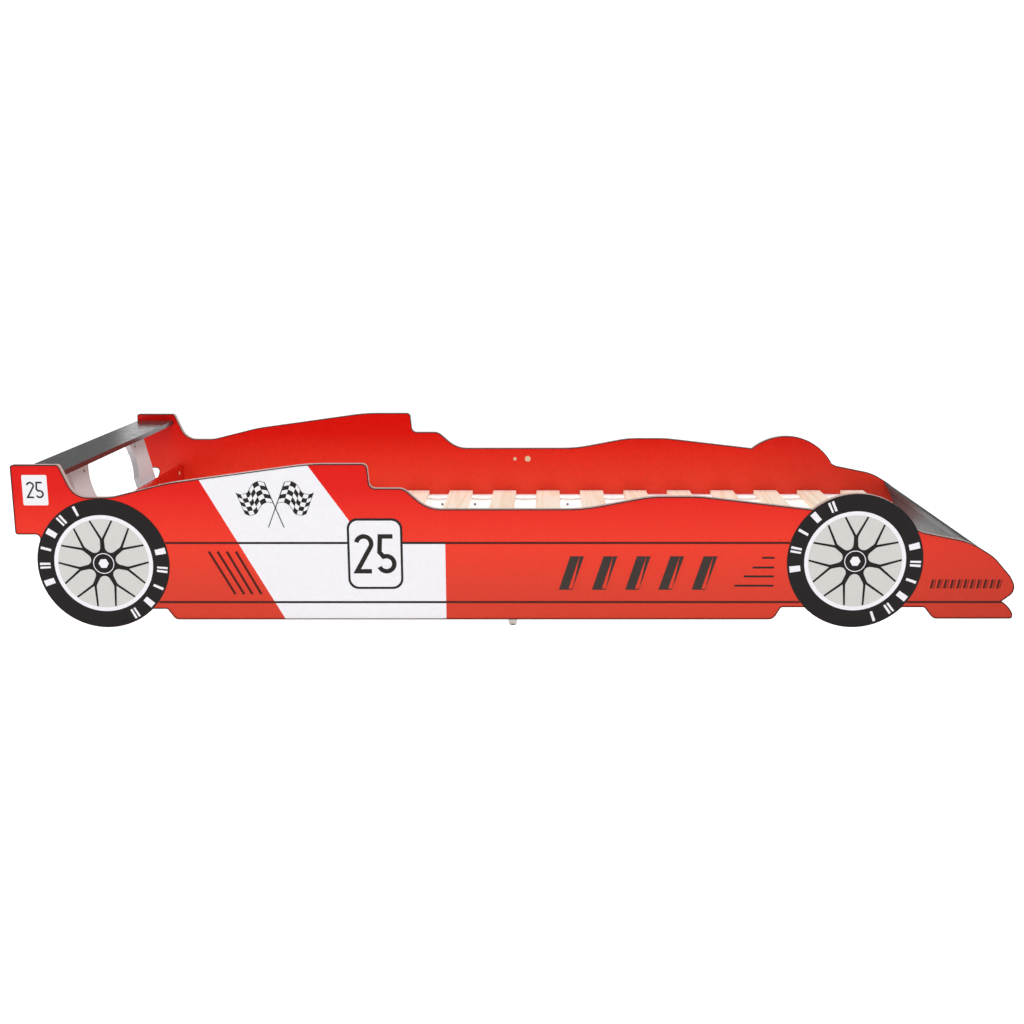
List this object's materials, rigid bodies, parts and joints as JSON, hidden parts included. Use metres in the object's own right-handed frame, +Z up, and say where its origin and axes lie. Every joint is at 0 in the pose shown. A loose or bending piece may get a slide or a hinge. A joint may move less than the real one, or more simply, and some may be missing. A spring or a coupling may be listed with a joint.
{
  "type": "toddler bed",
  "caption": "Low single bed shaped like a racing car: printed side panels with wheels and a stepped cockpit, rear wing, leaning nose boards and a lift-out slatted base.",
  "frame": {"origin": "on the floor, under the middle of the bed's length and width", "axes": "+X to the nose of the car, +Y to the car's left side, +Z up"},
  "size_m": [2.29, 0.945, 0.383],
  "materials": {
    "printed_red_panel": "red printed melamine board, satin",
    "dark_grey_board": "dark grey gloss laminate",
    "grey_board": "mid grey laminate, satin",
    "white_board": "white melamine board, satin",
    "slat_wood": "planed pine, untreated",
    "dowel_wood": "fluted beech",
    "webbing": "woven polyester tape",
    "foot_plastic": "pale grey moulded plastic",
    "glide_rubber": "soft glide pad",
    "cap_plastic": "cream moulded cover cap",
    "zinc_steel": "zinc plated steel"
  },
  "bodies": {
    "frame": {"bracket_screws": "zinc_steel", "cam_bolts": "zinc_steel", "cam_locks": "zinc_steel", "cross_board_dowels": "dowel_wood", "foot_crossboard": "white_board", "foot_glides": "glide_rubber", "foot_screws": "zinc_steel", "headboard": "printed_red_panel", "headboard_batten": "white_board", "headboard_caps": "cap_plastic", "headboard_screws": "zinc_steel", "joint_plate_screws": "zinc_steel", "left_centre_foot": "foot_plastic", "left_front_side_panel": "printed_red_panel", "left_front_slat_rail": "white_board", "left_joint_plate": "white_board", "left_rear_side_panel": "printed_red_panel", "left_rear_slat_rail": "white_board", "left_wing_upright": "white_board", "nose_board": "grey_board", "nose_strip": "grey_board", "rail_screws": "zinc_steel", "rear_wing": "dark_grey_board", "right_centre_foot": "foot_plastic", "right_front_side_panel": "printed_red_panel", "right_front_slat_rail": "white_board", "right_joint_plate": "white_board", "right_rear_side_panel": "printed_red_panel", "right_rear_slat_rail": "white_board", "right_wing_upright": "white_board", "seam_bolt_caps": "cap_plastic", "seam_bolts": "zinc_steel", "seam_cam_caps": "cap_plastic", "seam_cams": "zinc_steel", "seam_dowels": "dowel_wood", "upright_screws": "zinc_steel", "wing_brackets": "zinc_steel"},
    "slat_mat": {"left_slat_tape": "webbing", "right_slat_tape": "webbing", "slat_01": "slat_wood", "slat_02": "slat_wood", "slat_03": "slat_wood", "slat_04": "slat_wood", "slat_05": "slat_wood", "slat_06": "slat_wood", "slat_07": "slat_wood", "slat_08": "slat_wood", "slat_09": "slat_wood", "slat_10": "slat_wood", "slat_11": "slat_wood", "slat_12": "slat_wood", "slat_13": "slat_wood", "slat_14": "slat_wood", "slat_15": "slat_wood", "slat_16": "slat_wood"}
  },
  "joints": [
    {"name": "slat_mat_lift", "type": "slide", "parent": "frame", "child": "slat_mat", "axis": [0, 0, 1], "range_m": [0, 0.26]}
  ]
}
